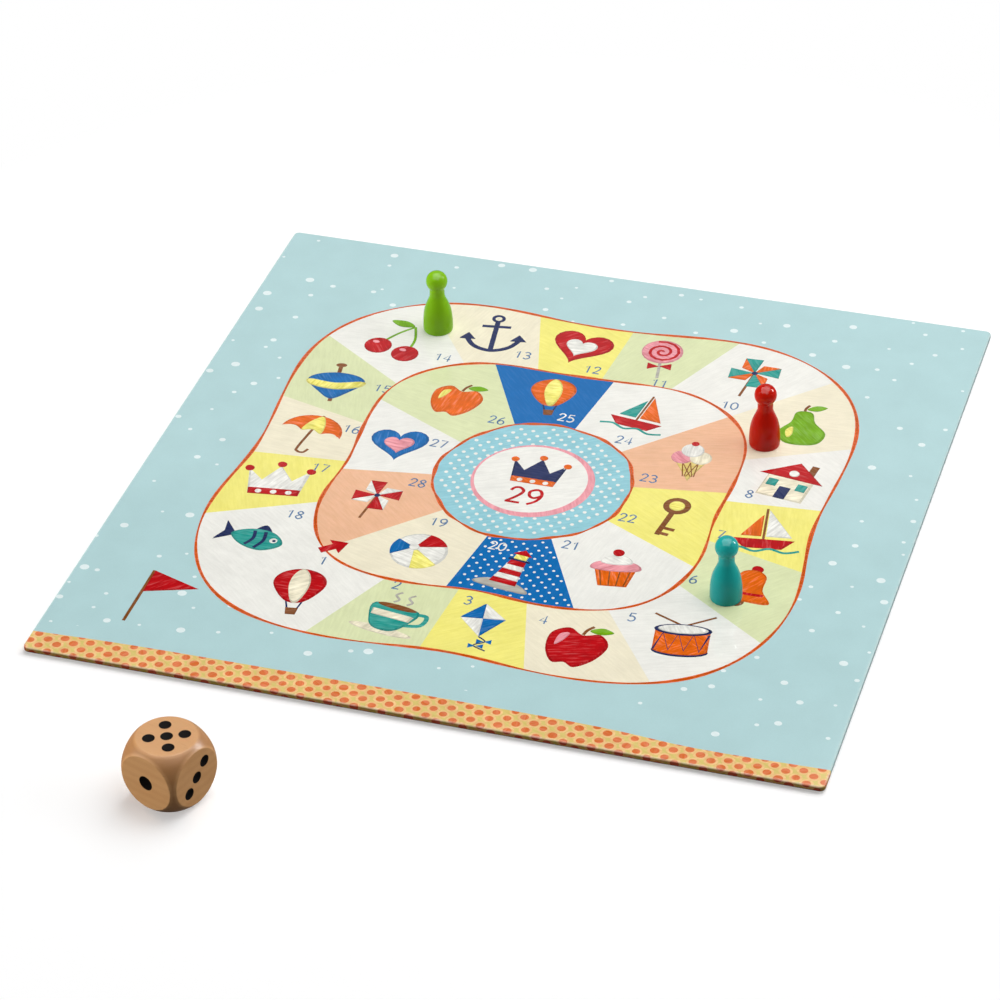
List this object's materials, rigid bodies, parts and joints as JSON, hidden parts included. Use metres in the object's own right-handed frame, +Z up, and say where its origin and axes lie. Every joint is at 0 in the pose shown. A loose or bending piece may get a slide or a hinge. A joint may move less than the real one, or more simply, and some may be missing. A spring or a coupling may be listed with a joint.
{
  "type": "board game set",
  "caption": "Square paper-wrapped game board with turned skittle pawns standing on it and a round-cornered wooden die lying in front; pawns and die lift off by hand.",
  "frame": {"origin": "on the table, under the middle of the board's underside", "axes": "+Z up out of the playing face, +X along the front edge to the right, +Y from the front edge to the back"},
  "size_m": [0.28, 0.3503, 0.0281],
  "materials": {
    "greyboard": "raw pressed grey board",
    "printed_paper": "printed, gloss laminated",
    "lining_paper": "uncoated",
    "green_lacquer": "turned, gloss lacquered green",
    "red_lacquer": "turned, gloss lacquered red",
    "turquoise_lacquer": "turned, gloss lacquered turquoise",
    "beech": "tumbled, clear satin varnish, black painted pips"
  },
  "bodies": {
    "board": {"board_core": "greyboard", "cover_sheet": "printed_paper", "back_lining": "lining_paper"},
    "green_pawn": {"pawn_green": "green_lacquer"},
    "red_pawn": {"pawn_red": "red_lacquer"},
    "turquoise_pawn": {"pawn_turquoise": "turquoise_lacquer"},
    "die": {"die": "beech"}
  },
  "joints": [
    {"name": "green_pawn_lift", "type": "slide", "parent": "board", "child": "green_pawn", "axis": [0, 0, 1], "range_m": [0, 0.06]},
    {"name": "red_pawn_lift", "type": "slide", "parent": "board", "child": "red_pawn", "axis": [0, 0, 1], "range_m": [0, 0.06]},
    {"name": "turquoise_pawn_lift", "type": "slide", "parent": "board", "child": "turquoise_pawn", "axis": [0, 0, 1], "range_m": [0, 0.06]},
    {"name": "die_lift", "type": "slide", "parent": "board", "child": "die", "axis": [0, 0, 1], "range_m": [0, 0.08]}
  ]
}
